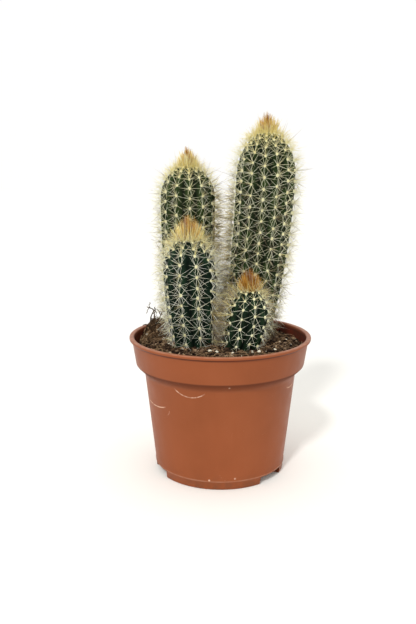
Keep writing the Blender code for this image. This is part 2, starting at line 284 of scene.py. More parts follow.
def blobs(rng, template, centres, turns, scales, jag):
    """Many jagged copies of a template in one mesh, each with its own turn, scale and bumps."""
    verts, faces = template
    count = len(centres)
    bumps = 1.0 + jag * rng.uniform(-1.0, 1.0, (count, len(verts), 1))
    local = verts[None] * bumps * scales[:, None, :]
    world = np.einsum("nij,nvj->nvi", turns, local) + centres[:, None, :]
    offsets = (np.arange(count) * len(verts))[:, None, None]
    return world.reshape(-1, 3), (faces[None] + offsets).reshape(-1, 3).tolist()


def joined(parts):
    """Vertices and faces of several meshes as one."""
    verts, faces, offset = [], [], 0
    for some_verts, some_faces in parts:
        verts.append(some_verts)
        faces += [[index + offset for index in face] for face in some_faces]
        offset += len(some_verts)
    return np.concatenate(verts), faces


# ---- the frame, read ----


def node_points(node):
    """The node's distinct vertices, to a hundredth of a millimetre."""
    obj = frame["nodes"][node]
    points = np.array([obj.matrix_world @ vert.co for vert in obj.data.vertices])
    return np.unique(np.round(points, 5), axis=0)


def node_surface(node):
    obj = frame["nodes"][node]
    verts = [obj.matrix_world @ vert.co for vert in obj.data.vertices]
    return BVHTree.FromPolygons(verts, [polygon.vertices for polygon in obj.data.polygons])


def rings_of(node):
    """(x, y, height, radius) of each level ring of a stem's solid, from its buried tip to its crown."""
    points = node_points(node)
    points = points[np.argsort(points[:, 2])]
    breaks = np.flatnonzero(np.diff(points[:, 2]) > 0.0001) + 1
    rings = []
    for ring in np.split(points, breaks):
        centre = ring.mean(axis=0)
        radius = np.linalg.norm(ring[:, :2] - centre[:2], axis=1).max()
        rings.append((*centre, radius))
    return np.array(rings)


def smooth_through(points, steps=24):
    """A smooth curve that passes through all of the points."""
    ends = np.concatenate([[2 * points[0] - points[1]], points, [2 * points[-1] - points[-2]]])
    share = np.linspace(0.0, 1.0, steps, endpoint=False)[:, None]
    runs = []
    for before, start, stop, beyond in zip(ends, ends[1:], ends[2:], ends[3:]):
        linear = 2 * start + (stop - before) * share
        square = (2 * before - 5 * start + 4 * stop - beyond) * share**2
        cube = (3 * start - before - 3 * stop + beyond) * share**3
        runs.append(0.5 * (linear + square + cube))
    return np.concatenate([*runs, points[-1:]])


class Column:
    """One stem's surface: a point for each distance along its ribs and each turn about its axis."""

    def __init__(self, node, look):
        self.ribs = look["ribs"]
        self.depth = look["depth"]
        rings = rings_of(node)
        collar = rings[-TUFT_RINGS]
        closing = [collar + (0.0, 0.0, 0.0006, -0.5 * collar[3]), collar + (0.0, 0.0, 0.001, -collar[3])]
        curve = smooth_through(np.array([*rings[FIRST_VISIBLE_RING:-TUFT_RINGS], *closing]))
        curve[:, 3] = np.maximum(curve[:, 3], 0.0)
        self.x, self.y, self.z, self.radius = curve.T
        self.foot, self.apex, self.tuft_tip = curve[0, :3], curve[-1, :3], rings[-1, :3]
        steps = np.linalg.norm(np.diff(curve, axis=0), axis=1)
        self.run = np.concatenate([[0.0], np.cumsum(steps)])
        self.length = self.run[-1]
        self.girth = self.radius.max()
        self.dome = float(self.run[self.radius > DOME_GIRTH * self.girth][-1])
        self.areoles = []

    def level(self, height):
        """The axis, across and back, and the radius at these heights."""
        return (np.interp(height, self.z, line) for line in (self.x, self.y, self.radius))

    def near_top(self, run):
        """0 up to the dome, and from there to 1 at the apex."""
        return np.clip((run - self.dome) / (self.length - self.dome), 0.0, 1.0)

    def at(self, run, turn, bumps=True):
        """The surface at these distances and turns, and how far each point is into a furrow."""
        x, y, z, radius = (np.interp(run, self.run, line) for line in (self.x, self.y, self.z, self.radius))
        lane = turn * self.ribs / math.tau
        off_crest = 2.0 * np.abs(lane - np.round(lane))
        fullness = held(radius / self.girth)
        groove = self.depth * fullness * off_crest**RIB_POWER
        if bumps:
            rib = np.round(lane).astype(int) % self.ribs
            groove = groove - self.tubercles(run, rib) * (1.0 - off_crest**2) * fullness
        reach = np.maximum(radius - groove, 0.0)
        return np.stack([x + reach * np.cos(turn), y + reach * np.sin(turn), z], axis=-1), off_crest

    def tubercles(self, run, rib):
        """The low swelling of a rib under each of its areoles."""
        height = np.zeros(np.shape(run))
        for index in range(self.ribs):
            places = np.array([place for on_rib, place in self.areoles if on_rib == index])
            if not len(places):
                continue
            chosen = rib == index
            away = np.abs(np.asarray(run)[chosen][:, None] - places[None, :]).min(axis=1)
            height[chosen] = TUBERCLE_HEIGHT * np.exp(-((away / TUBERCLE_REACH) ** 2))
        return height

    def areole_frames(self):
        """The areoles' places, their outward, upward and sideways directions, and their distances along the ribs."""
        rib, run = np.array(self.areoles).T
        turn = rib * math.tau / self.ribs

        def crest(along, about):
            return self.at(run + along, turn + about, bumps=False)[0]

        up = unit(crest(0.0004, 0.0) - crest(-0.0004, 0.0))
        side = unit(crest(0.0, 0.01) - crest(0.0, -0.01))
        return self.at(run, turn)[0], unit(np.cross(side, up)), up, side, run


def place_areoles(column, look, rng, ground):
    """Areoles along each crest, closer together on the dome. Those of the next rib stand half a gap off."""
    start = float(np.interp(ground, column.z, column.run)) + 0.0012
    for rib in range(column.ribs):
        place = start + look["gap"] * (0.5 * (rib % 2) + rng.uniform(0.0, 0.25))
        while place < column.length - 0.003:
            column.areoles.append((rib, place))
            place += look["gap"] * (1.0 - 0.62 * column.near_top(place) ** 0.8) * rng.uniform(0.93, 1.07)


# ---- node trees ----


class Nodes:
    """Short calls for a material's node tree. What is painted on self.colour becomes its base colour."""

    def __init__(self, name):
        self.material = bpy.data.materials.new(name)
        self.material.use_nodes = True
        self.tree = self.material.node_tree
        self.shader = self.tree.nodes["Principled BSDF"]
        self.colour = None

    def feed(self, node, inputs):
        """Links or sets a node's inputs, given by name or number."""
        for key, value in inputs.items():
            if isinstance(value, bpy.types.NodeSocket):
                self.tree.links.new(value, node.inputs[key])
            else:
                node.inputs[key].default_value = value

    def add(self, kind, inputs=None, output=0, **settings):
        """The output of a new node."""
        node = self.tree.nodes.new(kind)
        for key, value in settings.items():
            setattr(node, key, value)
        self.feed(node, inputs or {})
        return node.outputs[output]

    def coordinates(self, stretch=None):
        where = self.add("ShaderNodeTexCoord", output="Object")
        return self.add("ShaderNodeMapping", {"Scale": stretch, "Vector": where}) if stretch else where

    def attribute(self, name):
        return self.add("ShaderNodeAttribute", output="Fac", attribute_name=name)

    def vector_math(self, operation, output, *values):
        return self.add("ShaderNodeVectorMath", dict(enumerate(values)), output, operation=operation)

    def math(self, operation, first, *others):
        """The operation on two values, or on more of them from left to right."""
        for second in others or (0.0,):
            first = self.add("ShaderNodeMath", {0: first, 1: second}, operation=operation)
        return first

    def times(self, *values):
        return self.math("MULTIPLY", *values)

    def highest(self, *values):
        return self.math("MAXIMUM", *values)

    def apart(self, first, second):
        return self.math("ABSOLUTE", self.math("SUBTRACT", first, second))

    def noise(self, scale, detail=3.0, roughness=0.5, stretch=None, distortion=0.0):
        inputs = {"Scale": scale, "Detail": detail, "Roughness": roughness, "Distortion": distortion}
        return self.add("ShaderNodeTexNoise", {"Vector": self.coordinates(stretch), **inputs}, "Fac")

    def cells(self, scale):
        return self.add("ShaderNodeTexVoronoi", {"Vector": self.coordinates(), "Scale": scale}, "Distance")

    def between(self, value, low, high, out_low=0.0, out_high=1.0):
        """Carries values from low to high over to another range, and holds the rest at its ends."""
        inputs = {"Value": value, "From Min": low, "From Max": high, "To Min": out_low, "To Max": out_high}
        return self.add("ShaderNodeMapRange", inputs, "Result", clamp=True)

    def patches(self, scale, detail, low, high, out_low=0.0, out_high=1.0, roughness=0.5):
        """Soft patches of noise, from where it passes low to where it passes high."""
        return self.between(self.noise(scale, detail, roughness), low, high, out_low, out_high)

    def mix(self, share, first, second, blend="MIX"):
        node = self.tree.nodes.new("ShaderNodeMix")
        node.data_type, node.blend_type = "RGBA", blend
        colours = [(*colour, 1.0) if isinstance(colour, tuple) else colour for colour in (first, second)]
        self.feed(node, {"Factor": share, "A": colours[0], "B": colours[1]})
        return node.outputs["Result"]

    def ramp(self, value, stops):
        node = self.tree.nodes.new("ShaderNodeValToRGB")
        elements = node.color_ramp.elements
        while len(elements) < len(stops):
            elements.new(1.0)
        for element, (position, colour) in zip(elements, stops):
            element.position = position
            element.color = (*colour, 1.0)
        self.feed(node, {"Fac": value})
        return node.outputs["Color"]

    def paint(self, share, colour, blend="MIX"):
        self.colour = self.mix(share, self.colour, colour, blend)

    def bump(self, *layers):
        """Bumps from (height, distance in metres) pairs, one on top of the next."""
        below = {}
        for height, distance in layers:
            inputs = {"Distance": distance, "Height": height, **below}
            below = {"Normal": self.add("ShaderNodeBump", inputs, "Normal")}
        self.feed(self.shader, below)

    def finish(self, roughness, **uniform):
        numbers = {key.replace("_", " "): value for key, value in uniform.items()}
        self.feed(self.shader, {"Base Color": self.colour, "Roughness": roughness, **numbers})
        return self.material


# ---- materials ----


def about_centre(nodes, x, z, centre_x, centre_z):
    """How far points of the pot's front view are across and up from a centre, and their distance from it."""
    across = nodes.math("SUBTRACT", x, centre_x)
    rise = nodes.math("SUBTRACT", z, centre_z)
    squared = nodes.math("ADD", nodes.times(across, across), nodes.times(rise, rise))
    return across, rise, nodes.math("SQRT", squared)


def arc_mark(nodes, x, z, centre_x, centre_z, radius, width, low, high):
    """A thin scuff: part of the lower half of a circle."""
    across, rise, away = about_centre(nodes, x, z, centre_x, centre_z)
    line = nodes.between(nodes.apart(away, radius), width, width * 0.3)
    span = nodes.times(nodes.between(across, low, low + 0.002), nodes.between(across, high, high - 0.002))
    return nodes.times(line, span, nodes.math("LESS_THAN", rise, 0.0))


def dot_mark(nodes, x, z, centre_x, centre_z, radius):
    return nodes.between(about_centre(nodes, x, z, centre_x, centre_z)[2], radius, radius * 0.4)


def pot_material(top):
    """Terracotta coloured plastic, scuffed in front, with painted shade under the band and in the groove under the lip,
    painted highlights on the lip's top and the foot line, and painted shade over the inside wall with wet peat stains.
    """
    nodes = Nodes("pot_plastic")
    where = nodes.coordinates()
    x, y, z = nodes.add("ShaderNodeSeparateXYZ", {0: where}).node.outputs
    flow = nodes.noise(60.0, 4.0, 0.6, stretch=(1.0, 1.0, 0.12))
    nodes.colour = nodes.mix(nodes.patches(22.0, 3.0, 0.35, 0.65), (0.23, 0.061, 0.0195), (0.262, 0.07, 0.0232))
    nodes.paint(nodes.between(flow, 0.45, 0.75, 0.0, 0.22), (0.298, 0.089, 0.034))

    low_dirt = nodes.times(nodes.between(z, 0.011, 0.0), nodes.patches(160.0, 3.0, 0.42, 0.66, 0.0, 0.45))
    nodes.paint(low_dirt, (0.115, 0.05, 0.027))
    band_low = top - BAND_HEIGHT
    recess = nodes.times(
        nodes.between(z, band_low - UNDERSIDE_HEIGHT - 0.001, band_low - 0.001),
        nodes.between(z, band_low + 0.0006, band_low - 0.0002),
    )
    lip_low = top - LIP_HEIGHT
    neck_low = lip_low - LIP_UNDERCUT
    neck = nodes.times(
        nodes.between(z, neck_low - 0.0006, neck_low + 0.0002),
        nodes.between(z, lip_low + 0.0002, lip_low - 0.0003),
    )
    # Painted shade: a darker colour in the recess under the band and in the groove under the lip.
    painted_recess_shade = nodes.highest(nodes.times(recess, 0.62), nodes.times(neck, 0.55))
    nodes.paint(painted_recess_shade, (0.06, 0.014, 0.006))

    scratch = nodes.noise(90.0, 2.0, 0.5, stretch=(3.0, 3.0, 0.35), distortion=1.2)
    hairline = nodes.between(nodes.apart(scratch, 0.5), 0.003, 0.0, 0.0, 0.16)
    hairline = nodes.times(hairline, nodes.patches(34.0, 3.0, 0.55, 0.72))
    dust = nodes.times(nodes.between(nodes.cells(420.0), 0.13, 0.05), nodes.patches(75.0, 2.0, 0.6, 0.72, 0.0, 0.3))
    # Painted highlights: a pale line along the ridge of the foot line and along the lip's top edge, broken up by noise.
    foot_line_highlight = nodes.between(nodes.apart(z, FOOT_LINE_HEIGHT), 0.0006, 0.0002, 0.0, 0.3)
    lip_top_highlight = nodes.between(z, top - 0.0008, top - 0.0001, 0.0, 0.34)
    worn = nodes.times(nodes.highest(foot_line_highlight, lip_top_highlight), nodes.patches(240.0, 3.0, 0.3, 0.6, 0.4, 1.0))
    # One pale colour for the hairline scratches, the dust and the painted highlights.
    nodes.paint(nodes.highest(hairline, dust, worn), (0.56, 0.31, 0.205))

    marks = [arc_mark(nodes, x, z, *scuff) for scuff in ARC_SCUFFS]
    marks += [dot_mark(nodes, x, z, *scuff) for scuff in DOT_SCUFFS]
    front = nodes.math("LESS_THAN", y, 0.0)
    scuff = nodes.times(nodes.highest(*marks), front, nodes.patches(520.0, 2.0, 0.36, 0.56, 0.35, 1.0))
    nodes.paint(nodes.times(scuff, 0.8), (0.72, 0.47, 0.34))

    normal = nodes.add("ShaderNodeNewGeometry", output="Normal")
    facing = nodes.vector_math("DOT_PRODUCT", "Value", normal, nodes.vector_math("NORMALIZE", "Vector", where))
    # Painted shade over the inside wall below the rim, with darker patches of wet peat stain.
    inside = nodes.times(nodes.between(facing, -0.1, -0.45), nodes.between(z, top, top - 0.003))
    stain = nodes.patches(140.0, 5.0, 0.42, 0.6, roughness=0.7)
    nodes.paint(inside, nodes.mix(stain, (0.09, 0.005, 0.0026), (0.03, 0.005, 0.0026)))

    matt = nodes.times(nodes.highest(scuff, inside, recess), 0.35)
    roughness = nodes.math("ADD", nodes.patches(130.0, 4.0, 0.3, 0.7, 0.36, 0.47), matt)
    nodes.bump((nodes.noise(1500.0, 2.0), 0.00003), (flow, 0.0001), (scuff, 0.00008))
    return nodes.finish(roughness, Specular_IOR_Level=0.15)


def skin_material(name, tone):
    """Waxy skin with painted shade in its furrows, so the crests look lighter, mottled, with fine pale specks. tone
    goes from blue to yellow green.
    """
    nodes = Nodes(name)

    def toned(blue, yellow):
        return tuple(a + (b - a) * tone for a, b in zip(blue, yellow))

    dark = toned((0.0018, 0.005, 0.0038), (0.005, 0.0078, 0.0032))
    body = toned((0.0034, 0.011, 0.0066), (0.0125, 0.0215, 0.0066))
    light = toned((0.012, 0.034, 0.018), (0.044, 0.07, 0.018))
    nodes.colour = nodes.mix(nodes.patches(95.0, 4.0, 0.4, 0.66, roughness=0.6), body, light)
    # Painted shade: the skin darkens down into each furrow between the ribs.
    nodes.paint(nodes.between(nodes.attribute("furrow"), 0.35, 0.95), dark)
    old = nodes.times(nodes.between(nodes.attribute("rise"), 0.16, 0.0), nodes.patches(180.0, 3.0, 0.4, 0.62))
    nodes.paint(nodes.times(old, 0.45), (0.075, 0.058, 0.031))
    specks = nodes.cells(2600.0)
    nodes.paint(nodes.between(specks, 0.28, 0.1, 0.0, 0.3), (0.1, 0.155, 0.078))
    nodes.bump((nodes.noise(700.0, 4.0, 0.6), 0.00018), (specks, 0.00005))
    return nodes.finish(nodes.patches(400.0, 3.0, 0.3, 0.7, 0.42, 0.62), Specular_IOR_Level=0.05)


def felt_material():
    """Cream wool of the areoles, browner where it is old."""
    nodes = Nodes("areole_felt")
    nodes.colour = nodes.mix(nodes.attribute("tint"), (0.96, 0.95, 0.64), (0.955, 0.86, 0.43))
    worn = nodes.patches(900.0, 4.0, 0.42, 0.66, roughness=0.7)
    nodes.paint(nodes.times(worn, 0.35), (0.56, 0.44, 0.24))
    nodes.bump((nodes.noise(2400.0, 3.0, 0.7), 0.00025))
    return nodes.finish(nodes.between(worn, 0.0, 1.0, 0.85, 1.0), Sheen_Weight=0.3, Specular_IOR_Level=0.2)


def spine_material():
    """Straw spines: by tint dull brown at 0, then grey white, straw and amber to dark brown, and duller at the tips."""
    nodes = Nodes("cactus_spines")
    stops = (
        (0.0, (0.27, 0.2, 0.13)),
        (0.12, (0.96, 0.965, 0.86)),
        (0.26, (0.97, 0.95, 0.69)),
        (0.48, (0.96, 0.82, 0.3)),
        (0.75, (0.56, 0.26, 0.036)),
        (1.0, (0.24, 0.075, 0.008)),
    )
    nodes.colour = nodes.ramp(nodes.attribute("tint"), stops)
    along = nodes.attribute("along")
    tip = nodes.times(nodes.math("POWER", along, 1.7), 0.16)
    nodes.paint(tip, (0.4, 0.34, 0.19))
    streak = nodes.patches(600.0, 2.0, 0.45, 0.7, 1.0, 0.84)
    nodes.paint(1.0, nodes.mix(streak, (0.0, 0.0, 0.0), (1.0, 1.0, 1.0)), "MULTIPLY")
    nodes.bump((nodes.noise(2500.0, 2.0), 0.00003))
    return nodes.finish(nodes.between(along, 0.0, 1.0, 0.34, 0.55), Specular_IOR_Level=0.14)


def peat_material():
    """Dark moist peat with paler grains."""
    nodes = Nodes("potting_mix")
    coarse = nodes.noise(260.0, 5.0, 0.7)
    fine = nodes.noise(1100.0, 4.0, 0.7)
    stops = ((0.3, (0.008, 0.004, 0.003)), (0.52, (0.036, 0.021, 0.012)), (0.74, (0.115, 0.068, 0.041)))
    nodes.colour = nodes.ramp(coarse, stops)
    nodes.paint(nodes.between(fine, 0.52, 0.75, 0.0, 0.55), (0.18, 0.112, 0.068))
    nodes.bump((coarse, 0.0012), (fine, 0.0005))
    return nodes.finish(nodes.between(fine, 0.3, 0.7, 0.86, 1.0), Specular_IOR_Level=0.06)


def crumb_material():
    """Crumbs and shreds of peat: each has its own tint from nearly black to tan."""
    nodes = Nodes("peat_crumbs")
    stops = (
        (0.0, (0.008, 0.004, 0.003)),
        (0.45, (0.046, 0.026, 0.016)),
        (0.8, (0.19, 0.12, 0.072)),
        (1.0, (0.52, 0.37, 0.24)),
    )
    nodes.colour = nodes.ramp(nodes.attribute("tint"), stops)
    fine = nodes.noise(1400.0, 4.0, 0.7)
    nodes.paint(nodes.between(fine, 0.4, 0.7, 0.0, 0.5), (0.018, 0.01, 0.006))
    nodes.bump((fine, 0.0004))
    return nodes.finish(nodes.between(fine, 0.3, 0.7, 0.85, 1.0), Specular_IOR_Level=0.06)


def perlite_material():
    """Foamed white grains with stained pores."""
    nodes = Nodes("perlite_foam")
    pores = nodes.cells(1500.0)
    dirt = nodes.noise(500.0, 4.0, 0.6)
    nodes.colour = nodes.mix(nodes.between(pores, 0.1, 0.4), (0.64, 0.54, 0.37), (0.94, 0.88, 0.7))
    nodes.paint(nodes.between(dirt, 0.55, 0.76, 0.0, 0.6), (0.25, 0.155, 0.085))
    nodes.bump((pores, 0.0003), (dirt, 0.0003))
    return nodes.finish(nodes.between(dirt, 0.3, 0.7, 0.75, 0.95), Specular_IOR_Level=0.3)


def thread_material():
    """Dry roots, fibres and moss: each has its own tint from dark brown to tan."""
    nodes = Nodes("dry_thread")
    grain = nodes.noise(900.0, 4.0, 0.6, stretch=(1.0, 1.0, 0.3))
    stops = ((0.0, (0.016, 0.009, 0.006)), (0.5, (0.135, 0.078, 0.038)), (1.0, (0.5, 0.33, 0.185)))
    nodes.colour = nodes.ramp(nodes.attribute("tint"), stops)
    nodes.paint(nodes.between(grain, 0.45, 0.7, 0.0, 0.5), (0.038, 0.02, 0.011))
    nodes.bump((grain, 0.0002))
    return nodes.finish(nodes.between(grain, 0.3, 0.7, 0.7, 0.9), Specular_IOR_Level=0.1)


# ---- pot ----


def fillet(corners):
    """An outline whose corners (radius, height, rounding) are rounded off."""
    points = []
    for before, (radius, height, size), after in zip([None, *corners], corners, [*corners[1:], None]):
        here = np.array([radius, height])
        if not size or before is None or after is None:
            points.append(here)
            continue
        back = np.array(before[:2]) - here
        ahead = np.array(after[:2]) - here
        start = here + back * min(size / np.linalg.norm(back), 0.48)
        stop = here + ahead * min(size / np.linalg.norm(ahead), 0.48)
        for share in np.linspace(0.0, 1.0, FILLET_STEPS + 1):
            points.append((1 - share) ** 2 * start + 2 * share * (1 - share) * here + share**2 * stop)
    return np.array(points)


def lathe(outline, segments):
    """Turns an outline that starts and ends on the axis once round it. It runs up the inside and down the outside."""
    turn = np.arange(segments) * math.tau / segments
    inner = outline[1:-1]
    heights = np.repeat(inner[:, 1:], segments, axis=1)
    rows = np.dstack([polar(inner[:, :1], turn), heights]).reshape(-1, 3)
    verts = np.concatenate([rows, [[0, 0, outline[0, 1]], [0, 0, outline[-1, 1]]]])
    return verts, turned_faces(len(inner), segments)


def pot_radii():
    """Functions for the pot's outer and inner radius at a height, measured on the CAD pot between its foot gaps."""
    surface = node_surface("pot")
    turn = FOOT_GAP_FIRST + math.pi / FOOT_GAP_COUNT
    heading = Vector((math.cos(turn), math.sin(turn), 0.0))

    def outer(height):
        return surface.ray_cast(heading + Vector((0, 0, height)), -heading)[0].xy.length

    def inner(height):
        return surface.ray_cast(Vector((0, 0, height)), heading)[0].xy.length

    return outer, inner


def cutting_shape(shape, matrix, **size):
    """A shape to cut with, made by one of bmesh's calls."""
    builder = bmesh.new()
    shape(builder, matrix=matrix, **size)
    return builder


def turns_about(count):
    """Turns about the pot's axis, evenly from the first foot gap."""
    return [Matrix.Rotation(FOOT_GAP_FIRST + index * math.tau / count, 4, "Z") for index in range(count)]


def cut_with(obj, builders):
    """Cuts the shapes out of the object and keeps the result as its plain mesh."""
    cutters = bpy.data.collections.new("cutters")
    bpy.context.scene.collection.children.link(cutters)
    for builder in builders:
        mesh = bpy.data.meshes.new("cutter")
        builder.to_mesh(mesh)
        builder.free()
        cutters.objects.link(bpy.data.objects.new("cutter", mesh))
    modifier = obj.modifiers.new("cut", "BOOLEAN")
    modifier.operation = "DIFFERENCE"
    modifier.operand_type = "COLLECTION"
    modifier.collection = cutters
    result = bpy.data.meshes.new_from_object(obj.evaluated_get(bpy.context.evaluated_depsgraph_get()))
    obj.modifiers.clear()
    obj.data = result
    for cutter in list(cutters.objects):
        bpy.data.objects.remove(cutter, do_unlink=True)
    bpy.data.collections.remove(cutters)


def build_pot():
    """The moulded pot with its lip, band, foot line, foot gaps and drain holes. Gives its inner radius function."""
    outer, inner = pot_radii()
    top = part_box("pot")[1][2]
    rim = outer(top - 0.5 * LIP_HEIGHT)
    band_top = top - LIP_HEIGHT - LIP_UNDERCUT
    band_low = top - BAND_HEIGHT
    body_top = band_low - UNDERSIDE_HEIGHT
    foot = outer(0.0009)
    floor = FLOOR_LIFT + FLOOR_THICKNESS
    line = FOOT_LINE_HEIGHT

    def wall(height, rounding, at=0.0, proud=0.0):
        """A corner on the outer wall, whose radius is measured a little above it where the CAD wall steps."""
        return outer(height + at) + proud, height, rounding

    corners = [
        (0.0, floor, 0.0),
        (inner(floor + 0.0004), floor, 0.0012),
        (outer(body_top) - WALL, body_top + WALL, 0.003),
        (outer(band_low + 0.0012) - WALL - 0.0006, band_low + WALL, 0.003),
        (inner(top - 0.001), top - 0.0004, 0.0006),
        (inner(top - 0.001) + 0.0008, top, 0.0006),
        (rim, top, 0.0008),
        (rim, top - LIP_HEIGHT, 0.0004),
        wall(band_top, 0.0006),
        wall(band_low, 0.0007, at=0.0013),
        wall(body_top, 0.0018),
        wall(line + 0.0012, 0.0),
        wall(line + 0.0005, 0.0003, proud=FOOT_LINE_PROUD),
        wall(line - 0.0005, 0.0003, proud=FOOT_LINE_PROUD),
        wall(line - 0.0012, 0.0),
        (foot, 0.0, 0.0009),
        (foot - FOOT_WIDTH, 0.0, 0.0004),
        (foot - FOOT_WIDTH, FLOOR_LIFT, 0.0006),
        (0.0, FLOOR_LIFT, 0.0),
    ]
    verts, faces = lathe(fillet(corners), POT_SEGMENTS)
    pot = new_object("pot_shell", verts, faces, pot_material(top))
    gap_inner = foot - WALL - FOOT_GAP_REACH
    gap = Matrix.Translation(((gap_inner + rim) / 2, 0.0, 0.0))
    gap = gap @ Matrix.Diagonal((rim - gap_inner, FOOT_GAP_WIDTH, 2 * FOOT_GAP_HEIGHT, 1.0))
    hole = Matrix.Translation((DRAIN_CIRCLE, 0.0, 0.0))
    post = dict(cap_ends=True, segments=DRAIN_SEGMENTS, radius1=DRAIN_RADIUS, radius2=DRAIN_RADIUS, depth=CUT_DEPTH)
    cutters = [cutting_shape(bmesh.ops.create_cube, turn @ gap, size=1.0) for turn in turns_about(FOOT_GAP_COUNT)]
    holes = [Matrix.Identity(4), *[turn @ hole for turn in turns_about(DRAIN_COUNT)]]
    cutters += [cutting_shape(bmesh.ops.create_cone, spot, **post) for spot in holes]
    cut_with(pot, cutters)
    pot.data.shade_smooth()
    pot.data.set_sharp_from_angle(angle=SHARP_EDGE)
    place(pot, "pot_plastic", "pot")
    return inner


# ---- soil ----


class Ground:
    """The soil's top as heights on a polar grid, read from the CAD soil, with its sockets filled in."""

    def __init__(self, inner):
        surface = node_surface("soil")
        self.pot_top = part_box("pot")[1][2]
        self.edge = inner(self.pot_top - SOIL_DROP)
        self.radii = np.linspace(0.0, self.edge - 0.0012, SOIL_RINGS)
        self.turns = np.arange(SOIL_SEGMENTS) * math.tau / SOIL_SEGMENTS
        heights = np.full((SOIL_RINGS, SOIL_SEGMENTS), np.nan)
        for row, radius in enumerate(self.radii):
            for column, turn in enumerate(self.turns):
                spot = Vector((radius * math.cos(turn), radius * math.sin(turn), 1.0))
                hit = surface.ray_cast(spot, Vector((0, 0, -1)))[0]
                if hit and hit.z > self.pot_top - SOCKET_DROP:
                    heights[row, column] = hit.z
        known = ~np.isnan(heights)
        filled = np.where(known, heights, np.nanmean(heights))
        for _ in range(SOCKET_FILL_ROUNDS):
            around = (
                np.roll(filled, 1, axis=1)
                + np.roll(filled, -1, axis=1)
                + np.vstack([filled[:1], filled[:-1]])
                + np.vstack([filled[1:], filled[-1:]])
            ) / 4
            filled = np.where(known, filled, around)
        self.heights = filled

    def height(self, x, y):
        """The height under points, between the grid's lines."""
        radius = np.clip(np.hypot(x, y), 0.0, self.radii[-1]) / self.radii[-1] * (SOIL_RINGS - 1)
        turn = (np.arctan2(y, x) % math.tau) / math.tau * SOIL_SEGMENTS
        row = np.minimum(radius.astype(int), SOIL_RINGS - 2)
        column = turn.astype(int) % SOIL_SEGMENTS
        after = (column + 1) % SOIL_SEGMENTS
        out = radius - row
        on = turn - np.floor(turn)
        near = self.heights[row, column] * (1 - on) + self.heights[row, after] * on
        far = self.heights[row + 1, column] * (1 - on) + self.heights[row + 1, after] * on
        return near * (1 - out) + far * out

    def within(self, x, y, margin):
        """Draws points in to the pot's wall, less a margin."""
        inside = np.minimum(1.0, (self.edge - margin) / np.hypot(x, y))
        return x * inside, y * inside


def crumbly(x, y):
    """Fine relief of the soil's surface."""
    broad = noise.fractal(Vector((x, y, 0.3)) * 230.0, 0.7, 2.1, 3)
    fine = noise.fractal(Vector((x, y, 0.7)) * 900.0, 0.6, 2.0, 2)
    return 0.00085 * broad + 0.00035 * fine


def build_soil(ground, inner):
    """One closed body: the crumbly top, the side against the pot's wall, and the underside on the floor."""
    circle = [(math.cos(turn), math.sin(turn)) for turn in ground.turns]

    def ring(radii, heights, relief=lambda x, y: 0.0):
        corners = [(radius * x, radius * y, height) for (x, y), radius, height in zip(circle, radii, heights)]
        return [(x, y, height + relief(x, y)) for x, y, height in corners]

    def level(radius):
        return [radius] * SOIL_SEGMENTS

    rows = [ring(level(radius), heights, crumbly) for radius, heights in zip(ground.radii[1:], ground.heights[1:])]
    wall_top = ground.heights[-1] - 0.0012
    rows.append(ring([inner(height) - 0.0005 for height in wall_top], wall_top))
    floor = FLOOR_LIFT + FLOOR_THICKNESS + 0.0006
    body_top = ground.pot_top - BAND_HEIGHT - UNDERSIDE_HEIGHT
    for height in (body_top + 0.004, body_top, 0.03, floor):
        rows.append(ring(level(inner(height) - 0.0008), level(height)))
    verts = np.array(rows).reshape(-1, 3)
    centre_top = (0.0, 0.0, float(ground.heights[0].mean()) + crumbly(0.0, 0.0))
    verts = np.concatenate([verts, [centre_top, (0.0, 0.0, floor)]])
    soil = new_object("soil_body", verts, turned_faces(len(rows), SOIL_SEGMENTS), peat_material())
    place(soil, "potting_mix", "soil")


def open_places(rng, count, ground, columns, margin=0.0):
    """Random places on the soil that no stem covers, as many as asked."""
    kept = np.zeros((0, 2))
    while len(kept) < count:
        radius = ground.radii[-1] * np.sqrt(rng.uniform(0.0, 1.0, 2 * count))
        turn = rng.uniform(0.0, math.tau, 2 * count)
        tries = polar(radius, turn)
        clear = np.ones(len(tries), bool)
        for column in columns:
            x, y, covered = column.level(ground.height(*tries.T))
            clear &= np.hypot(tries[:, 0] - x, tries[:, 1] - y) > covered + margin - 0.0012
        kept = np.concatenate([kept, tries[clear]])
    return kept[:count]


def build_crumbs(ground, columns):
    """Loose crumbs of peat: many fine ones, and a few large ones of finer shape."""
    rng = np.random.default_rng(CRUMB_SEED)
    count = CRUMB_COUNT
    places = open_places(rng, count, ground, columns)
    size = 0.00032 + 0.0011 * rng.random(count) ** 2.6
    scales = size[:, None] * rng.uniform(0.55, 1.35, (count, 3))
    height = ground.height(*places.T) + size * rng.uniform(0.0, 0.9, count)
    at_wall = np.hypot(*places.T) + scales.max(axis=1) > ground.edge - 0.0006
    scales[at_wall] *= 0.5
    centres = np.column_stack([places, height])
    turns = random_turns(rng, count)
    tint = held(rng.normal(0.43, 0.34, count))
    large = size > LARGE_CRUMB
    parts, tints = [], []
    for chosen, detail, jag in ((~large, 1, 0.28), (large, 2, 0.22)):
        template = ball(detail)
        parts.append(blobs(rng, template, centres[chosen], turns[chosen], scales[chosen], jag))
        tints.append(np.repeat(tint[chosen], len(template[0])))
    verts, faces = joined(parts)
    crumbs = new_object("soil_crumbs", verts, faces, crumb_material(), {"tint": np.concatenate(tints)}, smooth=False)
    place(crumbs, "potting_mix")


def build_perlite_bits(ground, columns):
    rng = np.random.default_rng(PERLITE_SEED)
    count = PERLITE_BIT_COUNT
    places = open_places(rng, count, ground, columns, 0.001)
    size = rng.uniform(0.00025, 0.00065, count)
    scales = size[:, None] * rng.uniform(0.6, 1.3, (count, 3))
    height = ground.height(*places.T) + 0.0006
    template = ball(2)
    turns = random_turns(rng, count)
    verts, faces = blobs(rng, template, np.column_stack([places, height]), turns, scales, 0.16)
    place(new_object("perlite_bits", verts, faces, perlite_material(), smooth=False), "perlite")


